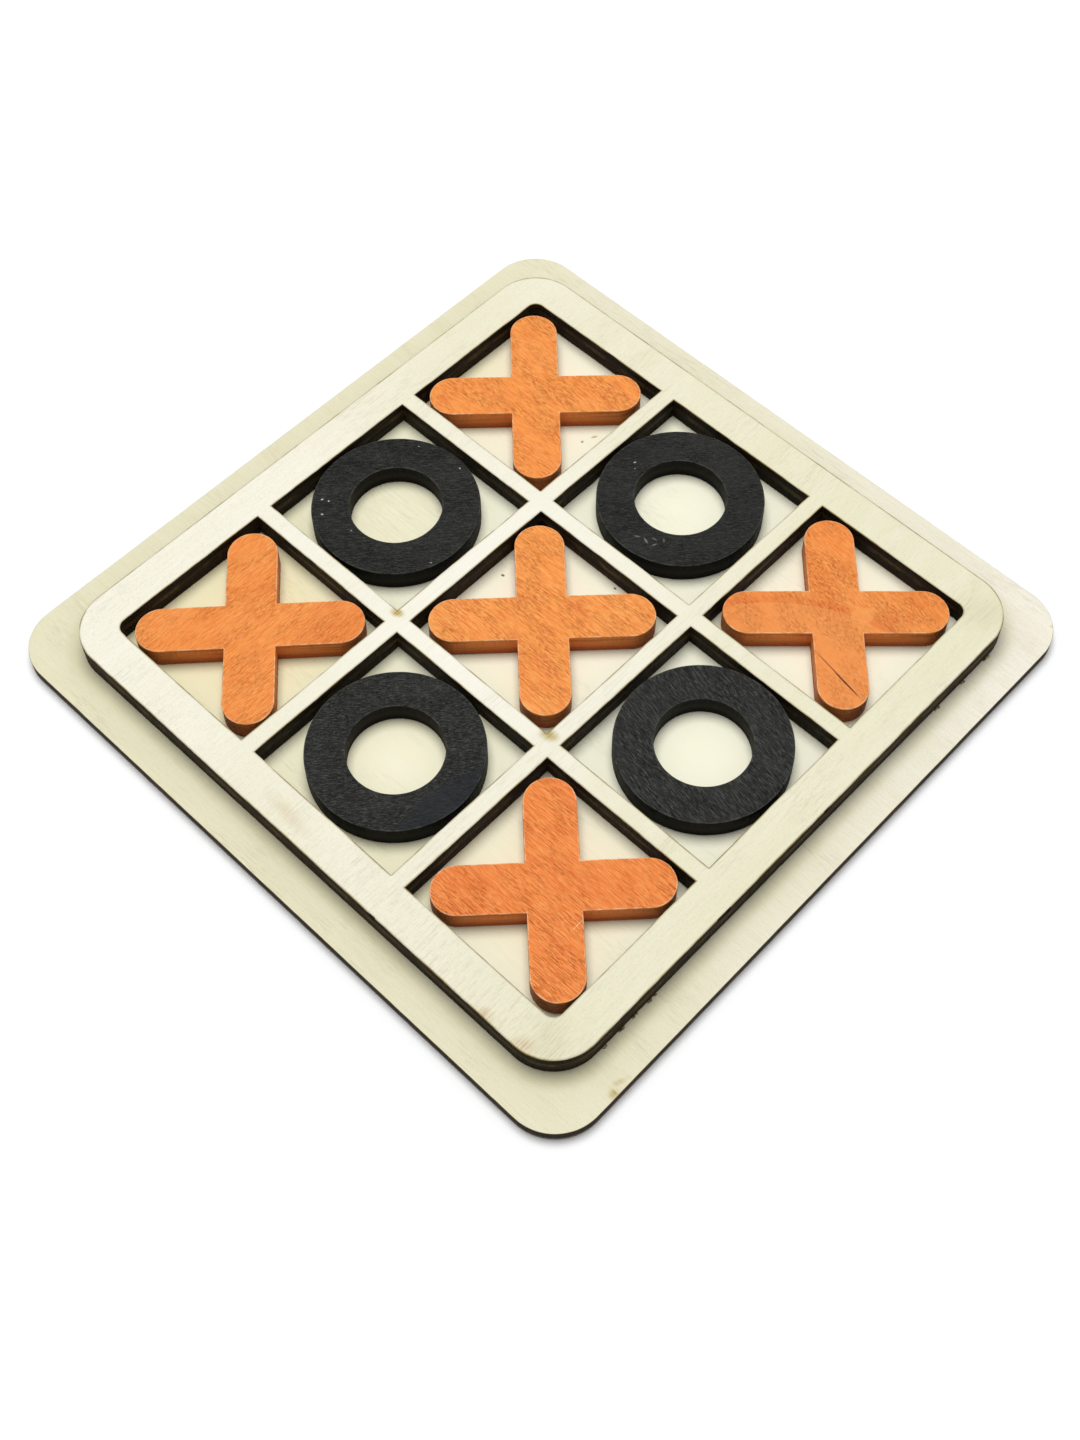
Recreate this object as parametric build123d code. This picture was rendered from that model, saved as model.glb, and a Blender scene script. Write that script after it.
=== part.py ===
from build123d import *
import os
from math import isclose

# Noughts and crosses set of laser-cut plywood, in millimetres.
# A thin base board carries a grid frame with nine square pockets, glued on top.
# Nine loose tokens, five crosses and four rings, lie in the pockets and lift out.
# +Z is up, the board's sides run along X and Y, and the origin is the middle of its underside.

# Base board
BOARD_SIDE = 140.0
BOARD_THICKNESS = 2.7
BOARD_CORNER_RADIUS = 9.5

# Grid frame
POCKET_SIDE = 34.5
BAR_WIDTH = 3.5
RIM_WIDTH = 7.5
FRAME_THICKNESS = 5.0
FRAME_CORNER_RADIUS = 9.5
OUTER_POCKET_RADIUS = 2.0
POCKETS_PER_SIDE = 3

# Glue between the board and the frame
GLUE_THICKNESS = 0.1
GLUE_SETBACK = 0.4

# Tokens, cut from one sheet
TOKEN_THICKNESS = 4.5
CROSS_SPAN = 42.0
CROSS_ARM_WIDTH = 9.5
CROSS_ARM_TURN = 45.0
RING_OUTER_DIAMETER = 32.4
RING_BORE_DIAMETER = 17.7

# Worked out from the sizes above
PITCH = POCKET_SIDE + BAR_WIDTH
GRID_SPAN = POCKETS_PER_SIDE * POCKET_SIDE + (POCKETS_PER_SIDE - 1) * BAR_WIDTH
FRAME_SIDE = GRID_SPAN + 2 * RIM_WIDTH
FRAME_BASE_Z = BOARD_THICKNESS + GLUE_THICKNESS

# Where each loose token lies: pocket column and row, from -1 to 1,
# then how far it has slipped from the pocket's middle and how far it is turned.
CROSSES = {
    "cross_token_back_left": (-1, 1, -0.45, -0.30, 0.2),
    "cross_token_back_right": (1, 1, -0.25, 0.55, -1.3),
    "cross_token_middle": (0, 0, -0.60, 0.25, 0.8),
    "cross_token_front_left": (-1, -1, 0.0, 0.0, 1.9),
    "cross_token_front_right": (1, -1, 0.45, 0.30, 1.2),
}
RINGS = {
    "ring_token_left": (-1, 0, -0.70, -0.40, 0.0),
    "ring_token_back": (0, 1, -0.60, 0.50, 0.0),
    "ring_token_front": (0, -1, 0.0, 0.30, 0.0),
    "ring_token_right": (1, 0, 0.30, 0.85, 0.0),
}


def make_base_board():
    outline = RectangleRounded(BOARD_SIDE, BOARD_SIDE, BOARD_CORNER_RADIUS)
    return extrude(outline, BOARD_THICKNESS)


def grid_outline(setback):
    """The frame's flat outline, with every edge drawn back by the same amount."""
    outer_side = FRAME_SIDE - 2 * setback
    outline = RectangleRounded(outer_side, outer_side, FRAME_CORNER_RADIUS - setback)
    opening_side = POCKET_SIDE + 2 * setback
    pocket = Rectangle(opening_side, opening_side)
    for place in GridLocations(PITCH, PITCH, POCKETS_PER_SIDE, POCKETS_PER_SIDE):
        outline -= place * pocket
    corner_reach = GRID_SPAN / 2 + setback
    grid_corners = [
        vertex
        for vertex in outline.vertices()
        if isclose(abs(vertex.X), corner_reach) and isclose(abs(vertex.Y), corner_reach)
    ]
    return fillet(grid_corners, OUTER_POCKET_RADIUS + setback)


def make_glue_layer():
    return Pos(0, 0, BOARD_THICKNESS) * extrude(grid_outline(GLUE_SETBACK), GLUE_THICKNESS)


def make_grid_frame():
    return Pos(0, 0, FRAME_BASE_Z) * extrude(grid_outline(0.0), FRAME_THICKNESS)


def make_cross():
    arm = SlotOverall(CROSS_SPAN, CROSS_ARM_WIDTH)
    outline = Rot(0, 0, CROSS_ARM_TURN) * arm + Rot(0, 0, -CROSS_ARM_TURN) * arm
    return extrude(outline, TOKEN_THICKNESS)


def make_ring():
    outline = Circle(RING_OUTER_DIAMETER / 2) - Circle(RING_BORE_DIAMETER / 2)
    return extrude(outline, TOKEN_THICKNESS)


def lay_in_pocket(token, column, row, slip_x, slip_y, turn):
    """Lay a token flat on the base board, in the pocket at that column and row."""
    place = Pos(column * PITCH + slip_x, row * PITCH + slip_y, BOARD_THICKNESS)
    return place * Rot(0, 0, turn) * token


def save(shape, node):
    export_step(shape, f"parts/{node}.step")


os.makedirs("parts", exist_ok=True)
save(make_base_board(), "base_board")
save(make_glue_layer(), "glue_layer")
save(make_grid_frame(), "grid_frame")
for node, place in CROSSES.items():
    save(lay_in_pocket(make_cross(), *place), node)
for node, place in RINGS.items():
    save(lay_in_pocket(make_ring(), *place), node)
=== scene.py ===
import math

import bmesh
import bpy
from mathutils import Euler, Matrix, Vector, noise


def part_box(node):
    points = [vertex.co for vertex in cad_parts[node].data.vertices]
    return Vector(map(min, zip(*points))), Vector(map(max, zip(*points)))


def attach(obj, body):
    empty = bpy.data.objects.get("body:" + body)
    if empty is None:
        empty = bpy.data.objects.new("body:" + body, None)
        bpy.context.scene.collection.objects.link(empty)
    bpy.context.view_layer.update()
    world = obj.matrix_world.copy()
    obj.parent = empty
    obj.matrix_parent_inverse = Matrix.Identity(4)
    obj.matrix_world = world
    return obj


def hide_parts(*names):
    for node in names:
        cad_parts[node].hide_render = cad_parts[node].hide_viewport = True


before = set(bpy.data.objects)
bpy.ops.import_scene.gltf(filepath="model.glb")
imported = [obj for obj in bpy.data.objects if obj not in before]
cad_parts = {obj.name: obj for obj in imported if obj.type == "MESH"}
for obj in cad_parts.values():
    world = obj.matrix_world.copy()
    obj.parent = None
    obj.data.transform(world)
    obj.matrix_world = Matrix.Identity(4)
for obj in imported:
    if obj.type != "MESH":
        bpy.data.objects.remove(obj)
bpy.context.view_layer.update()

MM = 0.001
UP = Vector((0.0, 0.0, 1.0))

# The set's own sizes, the same as in the CAD model
BOARD_CORNER_RADIUS = 9.5 * MM
FRAME_CORNER_RADIUS = 9.5 * MM
POCKET_SIDE = 34.5 * MM
BAR_WIDTH = 3.5 * MM
PITCH = POCKET_SIDE + BAR_WIDTH
GRID_REACH = 1.5 * POCKET_SIDE + BAR_WIDTH
FRAME_REACH = 62.75 * MM
CROSS_REACH = 21.0 * MM
CROSS_HALF_ARM = 4.75 * MM
RING_BORE_RADIUS = 8.85 * MM

# The spacing of each face's mesh, and of the rows of mesh down a cut edge
BOARD_CELL = 0.7 * MM
FRAME_CELL = 0.5 * MM
CROSS_CELL = 0.25 * MM
RING_CELLS_ACROSS = 24
RING_CELLS_AROUND = 240
CUT_ROW = 0.5 * MM

# The width of the softened arris between a face and its cut edge, how deep a listed chip goes,
# and the bend past which an edge of the mesh is shaded as a sharp one
SHEET_ARRIS = 0.12 * MM
TOKEN_ARRIS = 0.22 * MM
CHIP_DEPTH = 0.45 * MM
SHARP_BEND = math.radians(26)

# How much of the edge's scorch, or on the tokens its wear and painted highlight, shows on the last row
# of the face
BOARD_BRINK = 0.1
FRAME_BRINK = 1.0
TOKEN_BRINK = 0.6

# The tokens: the way each one is turned, the way its grain runs and its stain
TOKENS = {
    "cross_back_left": {"turn": 0.2, "grain": -1.0, "stain": "orange_far"},
    "cross_back_right": {"turn": -1.3, "grain": -10.0, "stain": "orange_right"},
    "cross_middle": {"turn": 0.8, "grain": 0.5, "stain": "orange_middle"},
    "cross_front_left": {"turn": 1.9, "grain": 89.5, "stain": "orange_left"},
    "cross_front_right": {"turn": 1.2, "grain": 1.0, "stain": "orange_near"},
    "ring_left": {"turn": 0.0, "grain": 46.5, "stain": "black_left"},
    "ring_back": {"turn": 0.0, "grain": 44.0, "stain": "black_back"},
    "ring_front": {"turn": 0.0, "grain": 51.0, "stain": "black_front"},
    "ring_right": {"turn": 0.0, "grain": -9.0, "stain": "black_right"},
}


# ---------------------------------------------------------------- colour

# The studio's light is this much stronger than would show white paper as plain white.
LIGHT_LEVEL = 1.12


def paint(red, green, blue):
    """The surface colour that shows as these 0 to 255 steps where the light falls on it freely.

    Wood that lies in a pocket gets less light, so its steps may be a little over 255.
    """
    steps = [channel / 255.0 for channel in (red, green, blue)]
    light = [s / 12.92 if s <= 0.04045 else ((s + 0.055) / 1.055) ** 2.4 for s in steps]
    return (*[channel / LIGHT_LEVEL for channel in light], 1.0)


# ---------------------------------------------------------------- material recipes


class Recipe:
    """The node tree of one material, written a node at a time."""

    def __init__(self, name):
        self.material = bpy.data.materials.new(name)
        self.material.use_nodes = True
        self.tree = self.material.node_tree
        self.shader = self.tree.nodes["Principled BSDF"]
        self.place = self.node("ShaderNodeTexCoord").outputs["Object"]

    def node(self, kind, sockets=None, **settings):
        made = self.tree.nodes.new(kind)
        for name, value in settings.items():
            setattr(made, name, value)
        for socket, value in (sockets or {}).items():
            if isinstance(value, bpy.types.NodeSocket):
                self.tree.links.new(value, made.inputs[socket])
            else:
                made.inputs[socket].default_value = value
        return made

    def math(self, operation, first, second=0.0, third=0.0, clamp=False):
        sockets = {0: first, 1: second, 2: third}
        return self.node("ShaderNodeMath", sockets, operation=operation, use_clamp=clamp).outputs[0]

    def vector(self, operation, first, second=(0.0, 0.0, 0.0)):
        return self.node("ShaderNodeVectorMath", {0: first, 1: second}, operation=operation)

    def mix(self, share, under, over):
        sockets = {0: share, 6: under, 7: over}
        return self.node("ShaderNodeMix", sockets, data_type="RGBA").outputs[2]

    def between(self, value, low, high, to_low=0.0, to_high=1.0):
        """Spread low..high of value over to_low..to_high, held at both ends."""
        sockets = {0: value, 1: low, 2: high, 3: to_low, 4: to_high}
        return self.node("ShaderNodeMapRange", sockets, interpolation_type="SMOOTHSTEP").outputs[0]

    def sized(self, vector, x, y, z):
        return self.node("ShaderNodeMapping", {0: vector, 3: (1 / x, 1 / y, 1 / z)}).outputs[0]

    def turned(self, degrees, seed):
        """Object coordinates with X along the grain, shifted so that no two pieces match."""
        sockets = {
            0: self.place,
            1: (seed * 0.37, seed * 0.53, seed * 0.11),
            2: (0, 0, -math.radians(degrees)),
        }
        return self.node("ShaderNodeMapping", sockets).outputs[0]

    def cloud(self, vector, along, across, detail=2.0, roughness=0.5, distortion=0.0):
        """Noise whose spots are that long and that wide, in metres."""
        sockets = {"Vector": self.sized(vector, along, across, across), "Scale": 1.0}
        sockets.update({"Detail": detail, "Roughness": roughness, "Distortion": distortion})
        return self.node("ShaderNodeTexNoise", sockets).outputs[0]

    def mark(self, name):
        return self.node("ShaderNodeAttribute", attribute_name=name).outputs["Fac"]

    def spot(self, x, y, long, wide, degrees=0.0):
        """1 at a point of the sheet, falling to 0 at the edge of an oval that long and wide."""
        moved = self.node("ShaderNodeMapping", {0: self.place, 1: (-x * MM, -y * MM, 0)}).outputs[0]
        turn = (0, 0, -math.radians(degrees))
        moved = self.node("ShaderNodeMapping", {0: moved, 2: turn}).outputs[0]
        sockets = {0: moved, 3: (1 / (long * MM), 1 / (wide * MM), 0)}
        moved = self.node("ShaderNodeMapping", sockets).outputs[0]
        return self.node("ShaderNodeTexGradient", {0: moved}, gradient_type="SPHERICAL").outputs[1]

    def patches(self, tone, listed, rag):
        """Lay oval patches of colour over a tone: place, size, turn, soft share of the edge, strength,
        colour.
        """
        for x, y, long, wide, degrees, edge, strength, colour in listed:
            haze = self.between(self.spot(x, y, long, wide, degrees), 0.0, edge)
            share = self.math("MULTIPLY", haze, self.math("MULTIPLY", rag, strength), clamp=True)
            tone = self.mix(share, tone, colour)
        return tone

    def height(self):
        return self.node("ShaderNodeSeparateXYZ", {0: self.place}).outputs[2]

    def bump(self, relief, depth):
        sockets = {"Height": relief, "Distance": depth, "Strength": 1.0}
        return self.node("ShaderNodeBump", sockets).outputs[0]

    def finish(self, colour, roughness, normal, specular):
        self.tree.links.new(colour, self.shader.inputs["Base Color"])
        if isinstance(roughness, bpy.types.NodeSocket):
            self.tree.links.new(roughness, self.shader.inputs["Roughness"])
        else:
            self.shader.inputs["Roughness"].default_value = roughness
        if normal is not None:
            self.tree.links.new(normal, self.shader.inputs["Normal"])
        self.shader.inputs["Specular IOR Level"].default_value = specular
        return self.material


def tone_drift(mix, look):
    """How far the wood has turned from pale to deep, slowly across the sheet and in clouds."""
    across = mix.vector("DOT_PRODUCT", mix.place, look["drift"]).outputs["Value"]
    zone = mix.cloud(mix.turned(0, look["seed"] + 2), 50 * MM, 50 * MM, 1.0)
    sway = mix.between(zone, 0.3, 0.7, look["bias"] - 0.25, look["bias"] + 0.25)
    return mix.math("ADD", across, sway)


def open_pores(mix, look, grain):
    """Short brown pores, in some zones and all over the sheet's coarse side."""
    pore = mix.cloud(grain, 3.6 * MM, 0.13 * MM, 1.5, 0.5)
    pore_zone = mix.cloud(grain, 20 * MM, 8 * MM, 2.0)
    coarse = mix.vector("DOT_PRODUCT", mix.place, look["coarse_side"]).outputs["Value"]
    zoned = mix.math("MAXIMUM", mix.between(pore_zone, 0.47, 0.62), mix.between(coarse, 0.75, 1.0))
    return mix.math("MULTIPLY", mix.between(pore, 0.56, 0.70), zoned)


def raw_wood(mix, look, grain, drift, fibre, hair, pores):
    """The tone of clean wood: bands, fibres, pores and a little grit."""
    band = mix.cloud(grain, 60 * MM, 6 * MM, 3.0, 0.55, 0.4)
    grit = mix.cloud(mix.turned(0, look["seed"] + 5), 0.35 * MM, 0.3 * MM, 2.0, 0.6)
    tone = mix.mix(mix.between(drift, -0.75, 0.75), look["pale"], look["deep"])
    tone = mix.mix(mix.between(band, 0.35, 0.7, 0.0, 0.5), tone, look["band"])
    tone = mix.mix(mix.between(fibre, 0.45, 0.7, 0.0, look["fibre_strength"]), tone, look["fibre"])
    tone = mix.mix(mix.between(hair, 0.5, 0.7, 0.0, look["hair_strength"]), tone, look["fibre"])
    tone = mix.mix(mix.math("MULTIPLY", pores, look["pore_strength"]), tone, look["pore"])
    return mix.mix(mix.between(grit, 0.48, 0.72, 0.0, 0.3), tone, look["fibre"])


def veneer(name, look):
    """Bare sanded basswood, with stains and a thin scorched line where the laser cut the edge.
    The board's also has painted shade round the frame's foot, and painted light on the floor inside the
    frame."""
    mix = Recipe(name)
    grain = mix.turned(look["grain"], look["seed"])
    fibre = mix.cloud(grain, 8 * MM, 0.26 * MM, 3.0, 0.65)
    hair = mix.cloud(grain, 3.0 * MM, 0.12 * MM, 2.0, 0.6)
    pores = open_pores(mix, look, grain)
    drift = tone_drift(mix, look)
    ragged = mix.between(mix.cloud(mix.turned(0, 7), 5 * MM, 5 * MM, 3.0), 0.35, 0.65, 0.5, 1.0)

    tone = raw_wood(mix, look, grain, drift, fibre, hair, pores)
    if "foot_shade_paint" in look:
        # Painted light: the board inside the frame is painted paler to offset the pockets' shade, going
        # yellower where the drift runs deep
        pocket_lit = mix.mix(mix.between(drift, 0.3, 1.05), look["pocket_light_paint"], look["pocket_light_paint_deep"])
        tone = mix.mix(pocket_light_mask(mix), tone, pocket_lit)
    tone = mix.patches(tone, look["patches"], mix.between(fibre, 0.3, 0.65, 0.4, 1.2))
    if "foot_shade_paint" in look:
        # Painted shade: a darker olive band on the board round the frame's foot
        tone = mix.mix(painted_foot_shade(mix, ragged), tone, look["foot_shade_paint"])
    scorch = mix.math("MULTIPLY", mix.math("POWER", mix.mark("rim"), 2.0), ragged)
    tone = mix.mix(scorch, tone, look["scorch"])

    relief = mix.math("ADD", mix.math("MULTIPLY", fibre, 0.6), mix.math("MULTIPLY", hair, 0.4))
    relief = mix.math("SUBTRACT", relief, mix.math("MULTIPLY", pores, 0.8))
    roughness = mix.between(fibre, 0.3, 0.7, 0.55, 0.7)
    return mix.finish(tone, roughness, mix.bump(relief, 0.03 * MM), 0.25)


def from_middle(mix):
    """Distance from the square that the centres of the frame's corner arcs make."""
    flat = mix.vector("MULTIPLY", mix.place, (1.0, 1.0, 0.0)).outputs[0]
    straight = mix.vector("ABSOLUTE", flat).outputs[0]
    reach = FRAME_REACH - FRAME_CORNER_RADIUS
    beyond = mix.vector("SUBTRACT", straight, (reach, reach, 0.0)).outputs[0]
    beyond = mix.vector("MAXIMUM", beyond).outputs[0]
    return mix.vector("LENGTH", beyond).outputs["Value"]


def pocket_light_mask(mix):
    """Where the board is painted lighter to make up for the shade in the pockets: from 2 mm inside the
    frame's outline.
    """
    foot = FRAME_CORNER_RADIUS
    return mix.between(from_middle(mix), foot, foot - 2 * MM, 0.0, 0.82)


def painted_foot_shade(mix, ragged):
    """Painted shade on the board round the foot of the frame, where the frame's shadow falls:
    strongest 1.4 mm out from the frame, and gone after 4 mm."""
    foot = FRAME_CORNER_RADIUS
    away = from_middle(mix)
    near = mix.between(away, foot + 4.0 * MM, foot + 1.4 * MM, 0.0, 0.44)
    outside = mix.between(away, foot - 1.0 * MM, foot + 1.4 * MM)
    near = mix.math("MULTIPLY", near, outside)
    return mix.math("MULTIPLY", near, mix.between(ragged, 0.35, 1.0, 0.6, 1.0))


def cut_edge(name, low, high, look):
    """The laser-cut edge of a plywood sheet between two heights: charred outer plies, a browner
    core ply, fine upright burn lines, a golden scorch at the top, and a paler foot if listed."""
    mix = Recipe(name)
    level = mix.math("DIVIDE", mix.math("SUBTRACT", mix.height(), low), high - low)
    line = mix.cloud(mix.sized(mix.place, 1, 1, 8), 0.35 * MM, 0.35 * MM, 3.0, 0.6)
    ply = mix.cloud(mix.sized(mix.place, 14, 14, 1), 0.7 * MM, 0.7 * MM, 2.0, 0.6)
    patch = mix.cloud(mix.turned(0, look["seed"]), 7 * MM, 7 * MM, 3.0, 0.6)
    waver = mix.math("MULTIPLY_ADD", mix.math("SUBTRACT", patch, 0.5), 0.2, level)
    core = mix.math("MULTIPLY", mix.between(waver, 0.40, 0.48), mix.between(waver, 0.72, 0.60))
    core = mix.math("MULTIPLY", core, mix.between(patch, 0.42, 0.6, 0.2, 1.0))
    core = mix.math("MULTIPLY", core, mix.between(line, 0.35, 0.65, 0.3, 1.0))
    tone = mix.mix(mix.between(ply, 0.42, 0.62), look["char"], look["soot"])
    tone = mix.mix(core, tone, look["core"])
    if "pale_foot" in look:
        # Paler towards the foot of the edge
        tone = mix.mix(mix.between(level, 0.35, 0.08, 0.0, 0.8), tone, look["pale_foot"])
    brim = mix.between(mix.height(), high - 0.18 * MM, high - 0.04 * MM)
    brim = mix.math("MULTIPLY", brim, mix.between(patch, 0.42, 0.62, 0.05, 1.0))
    tone = mix.mix(brim, tone, look["scorch"])
    relief = mix.math("ADD", line, ply)
    return mix.finish(tone, mix.between(line, 0.3, 0.7, 0.6, 0.8), mix.bump(relief, 0.06 * MM), 0.1)


def stained_face(name, look):
    """A stained token's face: fibres and dark pores that took more stain, and a pale rim that is partly
    wear and partly painted highlight.
    """
    mix = Recipe(name)
    size = look["grain_size"]
    grain = mix.turned(look["grain"], look["seed"])
    drift = mix.cloud(grain, 22 * MM, 7 * MM, 2.0, 0.5, 0.6)
    fibre = mix.cloud(grain, 3.4 * size * MM, 0.15 * size * MM, 1.5, 0.55)
    gleam = mix.cloud(grain, 1.7 * size * MM, 0.12 * size * MM, 1.5, 0.6)
    pore = mix.cloud(grain, 1.5 * size * MM, 0.10 * size * MM, 1.0, 0.5)
    pore_zone = mix.cloud(grain, 9 * MM, 4 * MM, 2.0)

    tone = mix.mix(mix.between(drift, 0.35, 0.65, 0.0, 0.7), look["stain"], look["light"])
    tone = mix.mix(mix.between(fibre, 0.44, 0.62, 0.0, look["fibre_strength"]), tone, look["deep"])
    tone = mix.mix(mix.between(gleam, 0.52, 0.68, 0.0, look["gleam_strength"]), tone, look["gleam"])
    pores = mix.math(
        "MULTIPLY", mix.between(pore, 0.56, 0.66), mix.between(pore_zone, 0.38, 0.6, 0.25, 1.0)
    )
    tone = mix.mix(mix.math("MULTIPLY", pores, look["pore_strength"]), tone, look["pore"])
    grit = mix.cloud(mix.turned(0, look["seed"] + 4), 0.16 * MM, 0.16 * MM, 1.0)
    tone = mix.mix(mix.between(grit, 0.55, 0.75, 0.0, look["grit_strength"]), tone, look["gleam"])
    tone = mix.patches(tone, look["patches"], mix.between(fibre, 0.3, 0.65, 0.85, 1.1))
    tone = mix.patches(tone, look["nicks"], 1.0)

    # The pale rim: partly wear, partly a painted highlight where the arris catches the light
    rim_patchiness = mix.between(mix.cloud(mix.turned(0, 3), 1.5 * MM, 1.5 * MM, 3.0), 0.35, 0.65, 0.1, 1.0)
    worn_and_highlit = mix.math("MULTIPLY", mix.mark("rim"), rim_patchiness)
    tone = mix.mix(mix.math("MULTIPLY", worn_and_highlit, look["wear_and_highlight_strength"]), tone, look["rim"])

    relief = mix.math("SUBTRACT", gleam, mix.math("MULTIPLY", pores, 1.2))
    roughness = mix.between(fibre, 0.3, 0.7, look["gloss"], look["gloss"] + 0.14)
    return mix.finish(tone, roughness, mix.bump(relief, look["relief"]), look["shine"])


def stained_edge(name, low, high, look):
    """A stained token's cut edge: darker towards the foot, with faint level ply lines, and a pale band
    at the top that is partly wear and partly painted highlight.
    """
    mix = Recipe(name)
    level = mix.math("DIVIDE", mix.math("SUBTRACT", mix.height(), low), high - low)
    ply = mix.cloud(mix.sized(mix.place, 20, 20, 1), 0.7 * MM, 0.7 * MM, 2.0)
    line = mix.cloud(mix.sized(mix.place, 1, 1, 7), 0.4 * MM, 0.4 * MM, 3.0)
    tone = mix.mix(mix.between(level, 0.1, 0.8), look["foot"], look["brow"])
    tone = mix.mix(mix.between(ply, 0.5, 0.6, 0.0, 0.5), tone, look["foot"])
    tone = mix.mix(mix.between(line, 0.45, 0.65, 0.0, 0.22), tone, look["burn"])
    core = mix.math("MULTIPLY", mix.between(level, 0.25, 0.42), mix.between(level, 0.75, 0.5))
    core = mix.math("MULTIPLY", core, mix.between(line, 0.35, 0.6, 0.1, look["core_strength"]))
    tone = mix.mix(core, tone, look["core"])
    # The pale band at the top: partly wear, partly painted highlight
    worn_and_highlit = mix.between(mix.height(), high - 0.24 * MM, high - 0.08 * MM, 0.0, look["wear_and_highlight_strength"])
    tone = mix.mix(worn_and_highlit, tone, look["rim"])
    roughness = mix.between(line, 0.3, 0.7, 0.55, 0.7)
    return mix.finish(tone, roughness, mix.bump(line, 0.03 * MM), look["shine"])


# ---------------------------------------------------------------- mesh


def lattice(side, cell):
    """A flat square sheet of even cells."""
    bm = bmesh.new()
    cells = round(side / cell)
    bmesh.ops.create_grid(bm, x_segments=cells, y_segments=cells, size=side / 2)
    return bm


def round_corner(a, b):
    """Bend a square corner's mesh into a quarter circle: a and b run from the arc's centre."""
    if a >= b:
        reach, angle = a, math.pi / 4 * b / a
    else:
        reach, angle = b, math.pi / 2 - math.pi / 4 * a / b
    return reach * math.cos(angle), reach * math.sin(angle)


def round_outline(bm, reach, radius):
    """Round the four corners of a square that reaches that far from the middle.

    The whole mesh of the corner bends round one centre. In the frame that leaves the corner of
    the outermost pocket, 7.5 mm in from the outline, with an arc of its own of 2 mm.
    """
    centre = reach - radius
    for vert in bm.verts:
        a, b = abs(vert.co.x) - centre, abs(vert.co.y) - centre
        if a <= 0.0 or b <= 0.0:
            continue
        a, b = round_corner(a, b)
        vert.co.x = math.copysign(centre + a, vert.co.x)
        vert.co.y = math.copysign(centre + b, vert.co.y)


def thicken(bm, low, high, arris):
    """Give the flat sheet its thickness, rows of mesh down its cut edge and soft arrises."""
    bmesh.ops.translate(bm, verts=bm.verts, vec=UP * low)
    grown = bmesh.ops.extrude_face_region(bm, geom=bm.faces[:])["geom"]
    lifted = [item for item in grown if isinstance(item, bmesh.types.BMVert)]
    bmesh.ops.translate(bm, verts=lifted, vec=UP * (high - low))
    bmesh.ops.recalc_face_normals(bm, faces=bm.faces)
    upright = [e for e in bm.edges if abs(e.verts[0].co.z - e.verts[1].co.z) > 0.5 * (high - low)]
    rows = round((high - low) / CUT_ROW)
    bmesh.ops.subdivide_edges(bm, edges=upright, cuts=rows - 1, use_grid_fill=True)
    bm.normal_update()
    corners = [e for e in bm.edges if is_arris(e)]
    bmesh.ops.bevel(
        bm, geom=corners, offset=arris, segments=3, affect="EDGES", profile=0.5, material=-1
    )
    bm.normal_update()


def is_arris(edge):
    if len(edge.link_faces) != 2:
        return False
    one, other = (abs(face.normal.z) for face in edge.link_faces)
    return (one > 0.9) != (other > 0.9)


def is_level(face):
    return abs(face.normal.z) > 0.98


def weather(bm, look):
    """Settle the faces and gnaw the cut edge a little, always inwards. The listed chips, each a
    place and a width in millimetres, break only the part of the edge above a height."""
    turn = math.radians(look["grain"])
    along = Vector((math.cos(turn), math.sin(turn), 0.0))
    over = Vector((-along.y, along.x, 0.0))
    shift = look["seed"] * 3.1
    for vert in bm.verts:
        level = abs(vert.normal.z)
        if level > 0.9:
            ripple = (vert.co.dot(along) / (7 * MM), vert.co.dot(over) / (0.9 * MM), shift)
            wave = noise.noise(Vector(ripple))
            vert.co -= vert.normal * look["settle"] * (0.5 + 0.5 * wave)
        if level < 0.9:
            out = Vector((vert.normal.x, vert.normal.y, 0.0)).normalized()
            upright = Vector((vert.co.x, vert.co.y, vert.co.z * 0.15))
            fine = noise.noise(upright / (0.8 * MM) + UP * shift)
            chip = noise.noise(vert.co / (4.5 * MM) + UP * (shift + 9.0))
            bite = look["gnaw"] * (0.5 + 0.5 * fine) + look["chip"] * max(0.0, chip - 0.42)
            for x, y, width in look["chips"]:
                near = 1.0 - math.hypot(vert.co.x / MM - x, vert.co.y / MM - y) / width
                bite += CHIP_DEPTH * max(0.0, near) * (vert.co.z > look["chips_above"])
            vert.co -= out * bite


def mark_rim(bm, brink):
    """A vertex value of 1 on the cut edge and its arris, 0 over the faces and brink between."""
    layer = bm.verts.layers.float.new("rim")
    for vert in bm.verts:
        levels = [is_level(face) for face in vert.link_faces]
        vert[layer] = 0.0 if all(levels) else brink if any(levels) else 1.0


def finish_piece(bm, name, materials, body, node, brink):
    """Hand the mesh over as a piece: the materials are for its faces and its cut edge, and a
    third one, where there is one, for its underside."""
    mark_rim(bm, brink)
    for face in bm.faces:
        below = len(materials) > 2 and face.normal.z < -0.5
        face.material_index = 2 if below else 0 if abs(face.normal.z) > 0.5 else 1
        face.smooth = True
    mesh = bpy.data.meshes.new(name)
    bm.to_mesh(mesh)
    bm.free()
    mesh.set_sharp_from_angle(angle=SHARP_BEND)
    for material in materials:
        mesh.materials.append(material)
    piece = bpy.data.objects.new(name, mesh)
    bpy.context.scene.collection.objects.link(piece)
    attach(piece, body)
    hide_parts(node)
    return piece


# ---------------------------------------------------------------- the board

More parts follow.
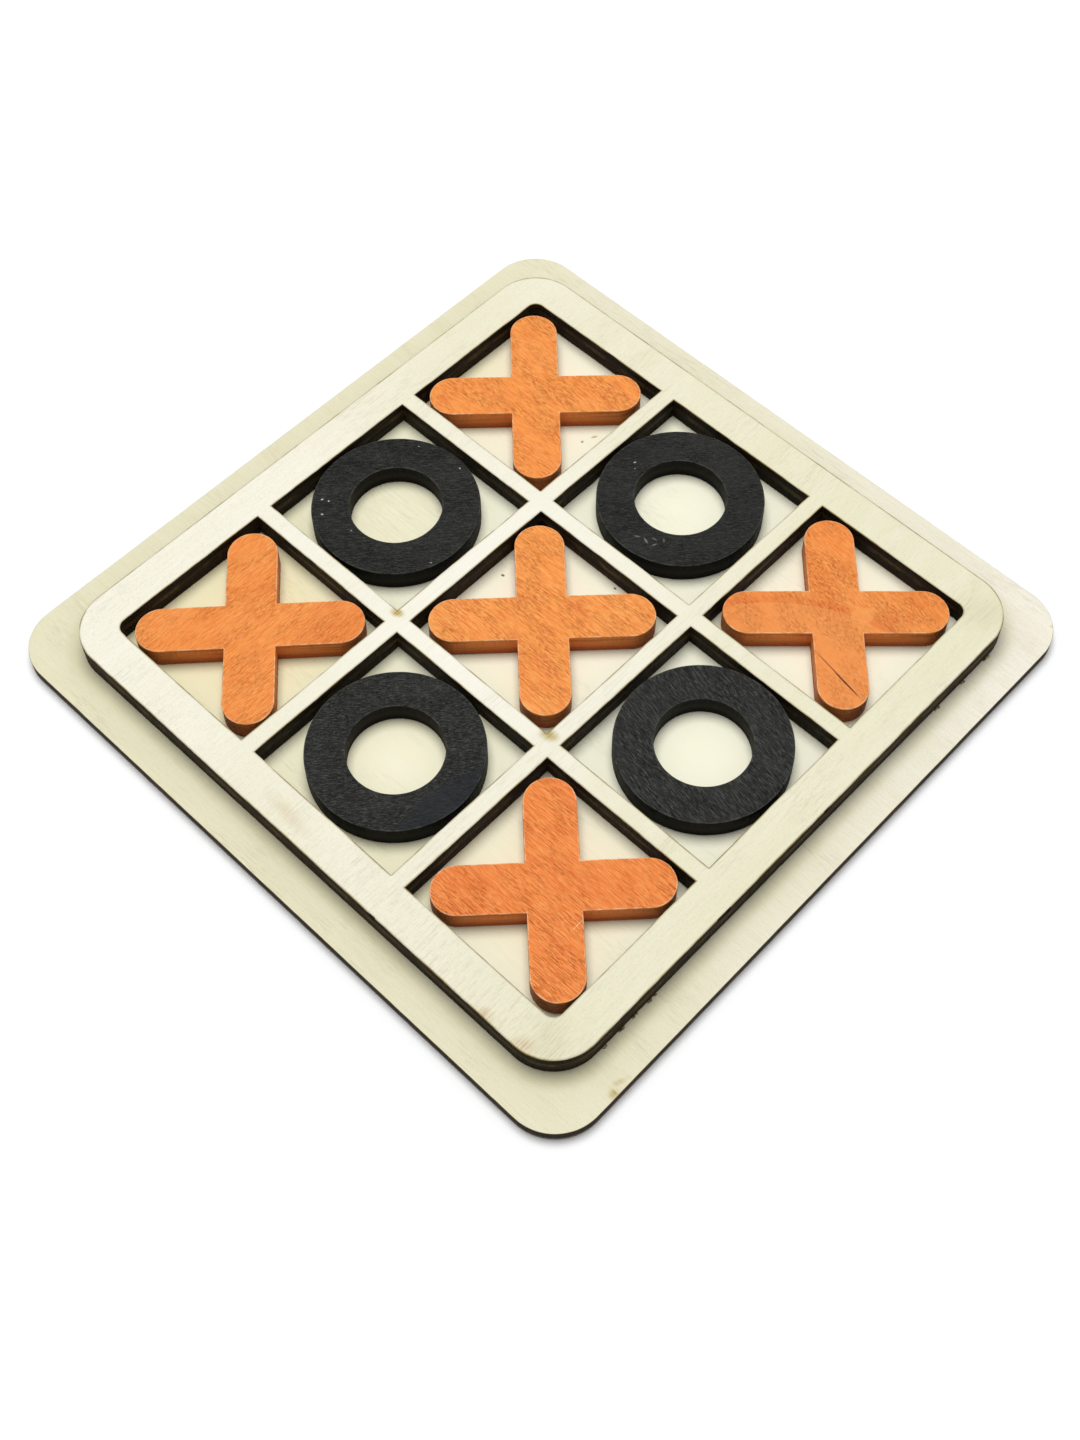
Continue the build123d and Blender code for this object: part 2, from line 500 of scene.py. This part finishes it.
AMBER = paint(186, 160, 72)
OLIVE = paint(196, 192, 150)
SINGED = paint(204, 180, 136)
BARE_WOOD = {
    "pale": paint(249, 246, 232),
    "deep": paint(238, 234, 206),
    "band": paint(244, 240, 219),
    "fibre": paint(212, 203, 166),
    "pore": paint(180, 156, 112),
    "scorch": paint(152, 128, 52),
}
CHAR = {
    "char": paint(26, 20, 14),
    "soot": paint(50, 38, 25),
    "core": paint(94, 80, 46),
    "scorch": paint(132, 110, 54),
}
BOARD_CHAR = {**CHAR, "seed": 4.0, "core": paint(50, 42, 28), "pale_foot": paint(150, 141, 134)}
BOARD_LOOK = {
    **BARE_WOOD, "grain": 0.0, "seed": 1.0, "coarse_side": (0.0, 0.0, 0.0),
    "drift": (-7.0, -7.0, 0.0), "bias": 0.4,
    "pale": paint(250, 245, 230), "deep": paint(235, 230, 197), "band": paint(240, 235, 206),
    # Painted light for the floor inside the frame, and its yellower end
    "pocket_light_paint": paint(259, 257, 232), "pocket_light_paint_deep": paint(250, 244, 200),
    "fibre_strength": 0.17, "hair_strength": 0.3,
    "pore_strength": 0.16,
    "settle": 0.03 * MM, "gnaw": 0.04 * MM, "chip": 0.08 * MM, "chips": [],
    # The colour of the painted shade round the frame's foot
    "foot_shade_paint": paint(206, 201, 156),
    "patches": [
        (69.3, -56.0, 1.5, 1.3, 90, 1.0, 0.8, AMBER),
        (68.6, -54.0, 2.6, 0.8, 70, 1.0, 0.4, AMBER),
        (67.8, 66.8, 1.2, 0.6, 40, 1.0, 0.8, AMBER),
        (38.0, -38.0, 28.0, 28.0, 0, 1.0, 0.6, paint(246, 240, 206)),
        (-38.0, 0.0, 22.0, 22.0, 0, 1.0, 0.9, paint(243, 237, 202)),
        (0.0, -38.0, 18.0, 18.0, 0, 1.0, 0.8, paint(254, 250, 226)),
        (-14.7, 4.1, 0.5, 0.35, 20, 0.6, 1.0, paint(70, 56, 40)),
        (2.7, 16.6, 0.4, 0.3, 0, 0.6, 1.0, paint(80, 66, 48)),
        (-25.0, 40.6, 1.1, 0.35, 60, 0.8, 0.7, AMBER),
        (-25.9, 38.0, 0.4, 0.4, 0, 0.6, 1.0, paint(90, 70, 44)),
    ],
}
UNDERSIDE_LOOK = {
    **BARE_WOOD, "grain": 0.0, "seed": 3.0, "coarse_side": (0.0, 0.0, 0.0),
    "drift": (3.0, -5.0, 0.0), "bias": 0.2,
    "fibre_strength": 0.3, "hair_strength": 0.4, "pore_strength": 0.25,
    "patches": [
        (-31.0, 22.0, 26.0, 3.0, 3, 1.0, 0.4, OLIVE),
        (24.0, -37.0, 34.0, 4.0, -2, 1.0, 0.4, SINGED),
        (48.0, 31.0, 1.6, 0.5, 10, 0.8, 0.8, AMBER),
    ],
}
FRAME_LOOK = {
    **BARE_WOOD, "grain": 90.0, "seed": 2.0, "coarse_side": (2.0, -14.5, 0.0),
    "drift": (7.0, 5.5, 0.0), "bias": 0.35, "scorch": paint(132, 108, 34),
    "pale": paint(252, 249, 236), "deep": paint(236, 232, 202),
    "settle": 0.03 * MM, "gnaw": 0.06 * MM, "chip": 0.35 * MM,
    "fibre_strength": 0.15, "hair_strength": 0.22, "pore_strength": 0.2, "chips_above": 6.6 * MM,
    "chips": [(62.7, -22.6, 1.1), (62.7, -20.9, 0.7), (62.7, 5.2, 0.6), (20.5, -62.7, 0.7)],
    "patches": [
        (-6.0, -6.0, 62.0, 62.0, 0, 1.0, 0.9, paint(252, 249, 238)),
        (-20.3, -17.7, 1.9, 1.3, 20, 1.0, 1.4, AMBER),
        (17.8, -17.2, 2.6, 1.8, 20, 1.0, 1.0, AMBER),
        (58.0, 57.0, 9.0, 6.0, 45, 1.0, 0.35, OLIVE),
        (57.0, -58.0, 10.0, 5.0, -40, 1.0, 0.3, OLIVE),
        (46.3, -62.3, 3.0, 2.2, 0, 1.0, 0.6, SINGED),
        (54.5, -61.5, 3.5, 2.2, 20, 1.0, 0.7, SINGED),
        (-4.0, -59.5, 9.0, 2.0, -5, 1.0, 0.35, SINGED),
    ],
}


def make_board_sheet():
    low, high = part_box("base_board")
    bm = lattice(high.x - low.x, BOARD_CELL)
    round_outline(bm, high.x, BOARD_CORNER_RADIUS)
    thicken(bm, low.z, high.z, SHEET_ARRIS)
    weather(bm, BOARD_LOOK)
    materials = [
        veneer("board_veneer", BOARD_LOOK),
        cut_edge("board_cut_edge", low.z, high.z, BOARD_CHAR),
        veneer("board_underside", UNDERSIDE_LOOK),
    ]
    return finish_piece(bm, "board_sheet", materials, "board", "base_board", BOARD_BRINK)


def in_pocket(point):
    return all(
        abs(part) < GRID_REACH and abs((part + PITCH / 2) % PITCH - PITCH / 2) < POCKET_SIDE / 2
        for part in point.xy
    )


def make_grid_sheet():
    low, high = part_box("grid_frame")
    bm = lattice(high.x - low.x, FRAME_CELL)
    pockets = [face for face in bm.faces if in_pocket(face.calc_center_median())]
    bmesh.ops.delete(bm, geom=pockets, context="FACES")
    round_outline(bm, high.x, FRAME_CORNER_RADIUS)
    thicken(bm, low.z, high.z, SHEET_ARRIS)
    weather(bm, FRAME_LOOK)
    materials = [
        veneer("frame_veneer", FRAME_LOOK),
        cut_edge("frame_cut_edge", low.z, high.z, {**CHAR, "seed": 6.0}),
    ]
    return finish_piece(bm, "grid_sheet", materials, "board", "grid_frame", FRAME_BRINK)


# ---------------------------------------------------------------- the tokens

ORANGE = {
    "stain": paint(255, 156, 66),
    "light": paint(255, 166, 80),
    "deep": paint(226, 108, 34),
    "fibre_strength": 0.75,
    "gleam": paint(255, 190, 112),
    "gleam_strength": 0.35,
    "pore": paint(192, 84, 28),
    "pore_strength": 0.5,
    "grit_strength": 0.15,
    # Pale rim colour: partly wear, partly painted highlight
    "rim": paint(255, 206, 156),
    "wear_and_highlight_strength": 0.95,
    "gloss": 0.5,
    "shine": 0.3,
    "relief": 0.04 * MM,
    "grain_size": 0.8,
    "patches": [],
    "nicks": [],
}
ORANGE_EDGE = {
    "brow": paint(252, 146, 66),
    "foot": paint(178, 86, 30),
    "burn": paint(176, 84, 30),
    "core": paint(250, 150, 72),
    "core_strength": 0.3,
    # Pale top band: partly wear, partly painted highlight
    "rim": paint(255, 190, 130),
    "wear_and_highlight_strength": 0.6,
    "shine": 0.2,
}
BLACK = {
    "stain": paint(27, 27, 26),
    "light": paint(37, 37, 35),
    "deep": paint(14, 14, 13),
    "fibre_strength": 0.9,
    "gleam": paint(104, 104, 98),
    "gleam_strength": 0.55,
    "grit_strength": 0.45,
    "pore": paint(2, 2, 2),
    "pore_strength": 1.0,
    # Pale rim colour: partly wear, partly painted highlight
    "rim": paint(92, 92, 86),
    "wear_and_highlight_strength": 0.55,
    "gloss": 0.5,
    "shine": 0.12,
    "relief": 0.05 * MM,
    "grain_size": 0.75,
    "patches": [],
    "nicks": [],
}
BLACK_EDGE = {
    "brow": paint(17, 16, 12),
    "foot": paint(8, 7, 6),
    "burn": paint(24, 21, 15),
    "core": paint(52, 48, 32),
    "core_strength": 0.5,
    # Pale top band: partly wear, partly painted highlight
    "rim": paint(64, 64, 58),
    "wear_and_highlight_strength": 0.3,
    "shine": 0.08,
}
SMOOTH_ORANGE = paint(255, 168, 88)
DARK_ORANGE = paint(230, 116, 46)
CRACK = paint(96, 40, 18)
DUST = paint(190, 190, 184)
STAINS = {
    "orange_far": {**ORANGE, "seed": 11.0},
    "orange_right": {
        **ORANGE, "seed": 12.0, "grain_size": 0.62, "stain": paint(252, 147, 62),
        "patches": [
            (49.0, 11.4, 34.2, 31.2, 34, 0.02, 0.42, DARK_ORANGE),
            (49.3, 10.7, 33.4, 30.4, 34, 0.015, 0.42, SMOOTH_ORANGE),
            (45.6, 43.4, 4.2, 3.0, 60, 0.5, 0.35, DARK_ORANGE),
            (41.8, 41.2, 2.4, 1.9, 60, 0.15, 0.5, SMOOTH_ORANGE),
        ],
        "nicks": [
            (46.4, 28.2, 7.0, 0.12, -10, 0.3, 0.9, CRACK),
            (49.2, 27.6, 4.0, 0.14, -9, 0.3, 0.95, CRACK),
        ],
    },
    "orange_middle": {
        **ORANGE, "seed": 13.0, "stain": paint(255, 160, 70),
        "patches": [
            (3.0, 6.0, 3.5, 2.0, 10, 0.8, 0.4, DARK_ORANGE),
            (7.0, -7.6, 7.0, 2.6, 0, 0.8, 0.3, DARK_ORANGE),
        ],
    },
    "orange_left": {
        **ORANGE, "seed": 14.0, "grain_size": 0.62, "stain": paint(250, 148, 58), "pore_strength": 0.35,
        "patches": [(-2.8, -21.4, 30.0, 30.0, 0, 0.01, 0.25, DARK_ORANGE)],
    },
    "orange_near": {
        **ORANGE, "seed": 15.0, "grain_size": 1.05, "stain": paint(243, 133, 52),
        "light": paint(252, 149, 64), "fibre_strength": 0.8, "pore_strength": 0.65,
        "nicks": [(46.2, -40.1, 1.7, 0.12, 92, 0.5, 0.7, paint(255, 206, 160))],
    },
    "black_left": {
        **BLACK, "seed": 21.0, "stain": paint(23, 23, 22), "gleam_strength": 0.3,
        "grit_strength": 0.4,
        "nicks": [
            (-49.8, -9.3, 0.35, 0.2, 60, 0.5, 1.0, DUST),
            (-48.6, -8.7, 0.25, 0.2, 0, 0.5, 1.0, DUST),
            (-47.2, -11.7, 0.3, 0.2, 30, 0.5, 1.0, DUST),
            (-36.1, 14.2, 0.3, 0.15, 0, 0.5, 0.9, DUST),
            (-40.4, -10.5, 0.25, 0.15, 40, 0.5, 0.6, DUST),
            (-24.2, -5.3, 0.3, 0.15, 40, 0.5, 0.6, DUST),
            (-45.7, 12.5, 0.3, 0.12, 20, 0.5, 0.6, DUST),
        ],
    },
    "black_back": {
        **BLACK, "seed": 22.0, "fibre_strength": 0.5, "gleam_strength": 0.25,
        "nicks": [
            (-12.6, 38.7, 0.35, 0.18, 60, 0.5, 0.9, DUST),
            (-11.6, 37.6, 0.25, 0.12, 60, 0.5, 0.5, DUST),
            (-0.4, 25.9, 0.9, 0.3, 30, 1.0, 0.3, DUST),
            (1.5, 26.3, 1.1, 0.34, -20, 1.0, 0.34, DUST),
            (3.3, 26.7, 0.8, 0.3, 70, 1.0, 0.3, DUST),
            (2.4, 27.7, 0.9, 0.26, 10, 1.0, 0.25, DUST),
            (3.9, 28.7, 0.6, 0.3, -40, 1.0, 0.25, DUST),
            (-8.7, 53.5, 0.3, 0.15, 0, 0.5, 0.6, DUST),
        ],
    },
    "black_front": {
        **BLACK, "seed": 23.0,
        "patches": [(36.0, -42.0, 26.0, 26.0, 0, 0.05, 0.8, paint(36, 38, 42))],
    },
    "black_right": {**BLACK, "seed": 24.0, "grain_size": 1.0, "stain": paint(41, 41, 40)},
}
SANDED = {"settle": 0.04 * MM, "gnaw": 0.04 * MM, "chip": 0.15 * MM, "chips": []}


def flat_cross():
    """A plus sign of even cells, its four arm ends bent into half circles."""
    bm = lattice(2 * CROSS_REACH, CROSS_CELL)
    notches = [f for f in bm.faces if min(map(abs, f.calc_center_median().xy)) > CROSS_HALF_ARM]
    bmesh.ops.delete(bm, geom=notches, context="FACES")
    shoulder = CROSS_REACH - CROSS_HALF_ARM
    for vert in bm.verts:
        for end, side in ((0, 1), (1, 0)):
            a, b = abs(vert.co[end]) - shoulder, abs(vert.co[side])
            if a <= 0.0 or b <= 0.0:
                continue
            a, b = round_corner(a, b)
            vert.co[end] = math.copysign(shoulder + a, vert.co[end])
            vert.co[side] = math.copysign(b, vert.co[side])
    return bm


def flat_ring(outer):
    """A flat washer, swept round from one radial row of points."""
    bm = bmesh.new()
    ends = [bm.verts.new((radius, 0.0, 0.0)) for radius in (RING_BORE_RADIUS, outer)]
    row = bm.edges.new(ends)
    bmesh.ops.subdivide_edges(bm, edges=[row], cuts=RING_CELLS_ACROSS - 1)
    bmesh.ops.spin(
        bm, geom=bm.verts[:] + bm.edges[:], cent=(0, 0, 0), axis=UP, dvec=(0, 0, 0),
        angle=2 * math.pi, steps=RING_CELLS_AROUND, use_merge=True, use_duplicate=False,
    )
    bmesh.ops.remove_doubles(bm, verts=bm.verts, dist=0.001 * MM)
    return bm


def make_token(body):
    token = TOKENS[body]
    node = body.replace("_", "_token_", 1)
    low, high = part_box(node)
    middle = (low + high) / 2
    is_cross = body.startswith("cross")
    bm = flat_cross() if is_cross else flat_ring((high.x - low.x) / 2)
    turn = math.radians(45.0 + token["turn"])
    bmesh.ops.rotate(bm, verts=bm.verts, cent=(0, 0, 0), matrix=Matrix.Rotation(turn, 3, "Z"))
    bmesh.ops.translate(bm, verts=bm.verts, vec=(middle.x, middle.y, 0.0))
    thicken(bm, low.z, high.z, TOKEN_ARRIS)
    look = {**STAINS[token["stain"]], **SANDED, "grain": token["grain"]}
    weather(bm, look)
    edge = ORANGE_EDGE if is_cross else BLACK_EDGE
    materials = [
        stained_face(token["stain"] + "_face", look),
        stained_edge(token["stain"] + "_edge", low.z, high.z, edge),
    ]
    return finish_piece(bm, body + "_wood", materials, body, node, TOKEN_BRINK)


# ---------------------------------------------------------------- glue

# Where each bead sits along Y and how big it is, in millimetres
GLUE_BEADS = [
    (52.7, 0.34), (51.9, 0.22), (45.2, 0.3), (37.9, 0.28), (37.1, 0.2), (-38.9, 0.18),
    (-40.3, 0.3), (-43.4, 0.16), (-44.2, 0.22), (-46.9, 0.27), (-47.6, 0.17), (-51.2, 0.32),
]


def glue_material():
    mix = Recipe("dried_glue")
    haze = mix.cloud(mix.turned(0, 5), 0.8 * MM, 0.8 * MM, 2.0)
    tone = mix.mix(mix.between(haze, 0.35, 0.65), paint(92, 78, 40), paint(176, 162, 104))
    return mix.finish(tone, 0.45, mix.bump(haze, 0.05 * MM), 0.4)


def make_glue_beads():
    """Little domes of glue that squeezed out at the foot of the frame's +X side."""
    board_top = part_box("base_board")[1].z
    bm = bmesh.new()
    for y, size in GLUE_BEADS:
        middle = Vector((FRAME_REACH + 0.05 * MM, y * MM, board_top))
        made = bmesh.ops.create_icosphere(bm, subdivisions=3, radius=size * MM)["verts"]
        for vert in made:
            lump = 1.0 + 0.5 * noise.noise(vert.co / (0.25 * MM) + Vector((y, 0.0, 0.0)))
            vert.co = vert.co * lump
            vert.co.y *= 1.7
            vert.co.z = max(vert.co.z * 0.7, 0.0)
            vert.co += middle
    mesh = bpy.data.meshes.new("glue_beads")
    bm.to_mesh(mesh)
    bm.free()
    mesh.shade_smooth()
    mesh.materials.append(glue_material())
    beads = bpy.data.objects.new("glue_beads", mesh)
    bpy.context.scene.collection.objects.link(beads)
    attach(beads, "board")


# ---------------------------------------------------------------- floor, lights and camera


def make_floor():
    bm = bmesh.new()
    bmesh.ops.create_grid(bm, x_segments=8, y_segments=8, size=3.0)
    mesh = bpy.data.meshes.new("studio_floor")
    bm.to_mesh(mesh)
    bm.free()
    mix = Recipe("studio_paper")
    fleck = mix.cloud(mix.place, 0.05, 0.05, 2.0)
    tone = mix.mix(fleck, (0.94, 0.94, 0.94, 1.0), (0.96, 0.96, 0.96, 1.0))
    mesh.materials.append(mix.finish(tone, 0.9, None, 0.1))
    floor = bpy.data.objects.new("studio_floor", mesh)
    floor.location.z = -0.02 * MM
    bpy.context.scene.collection.objects.link(floor)


def make_light(name, place, size, watts):
    """A round lamp that faces the middle of the set."""
    lamp = bpy.data.lights.new(name, "AREA")
    lamp.shape = "DISK"
    lamp.size = size
    lamp.energy = watts
    light = bpy.data.objects.new(name, lamp)
    light.location = place
    light.rotation_euler = (-Vector(place)).to_track_quat("-Z", "Y").to_euler()
    bpy.context.scene.collection.objects.link(light)


def make_studio():
    world = bpy.data.worlds.new("studio")
    world.use_nodes = True
    sky = world.node_tree.nodes["Background"]
    sky.inputs["Color"].default_value = (1.0, 1.0, 1.0, 1.0)
    sky.inputs["Strength"].default_value = 0.40
    bpy.context.scene.world = world
    make_light("overhead_softbox", (-0.28, 0.20, 1.58), 1.1, 21.6)


# The camera's place, then the way it looks: down from level, round from +Y, and its roll.
CAMERA_PLACE = Vector((136.1, -140.7, 303.1)) * MM
CAMERA_DOWN = 57.10
CAMERA_ROUND = 42.57
CAMERA_ROLL = 0.92
LENS = 48.28
SENSOR = 36.0
SHIFT = (-0.0215, -0.0556)


def make_camera():
    lens = bpy.data.cameras.new("camera")
    lens.sensor_width = SENSOR
    lens.lens = LENS
    lens.shift_x, lens.shift_y = SHIFT
    lens.clip_start = 0.01
    camera = bpy.data.objects.new("camera", lens)
    aim = Euler((math.radians(90 - CAMERA_DOWN), 0.0, math.radians(CAMERA_ROUND))).to_matrix()
    aim = aim @ Matrix.Rotation(math.radians(CAMERA_ROLL), 3, "Z")
    camera.matrix_world = Matrix.Translation(CAMERA_PLACE) @ aim.to_4x4()
    bpy.context.scene.collection.objects.link(camera)
    bpy.context.scene.camera = camera


# ---------------------------------------------------------------- the whole set

make_board_sheet()
make_grid_sheet()
for body in TOKENS:
    make_token(body)

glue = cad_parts["glue_layer"]
glue.data.materials.clear()
glue.data.materials.append(glue_material())
make_glue_beads()

make_floor()
make_studio()
make_camera()
bpy.context.scene.view_settings.view_transform = "Standard"
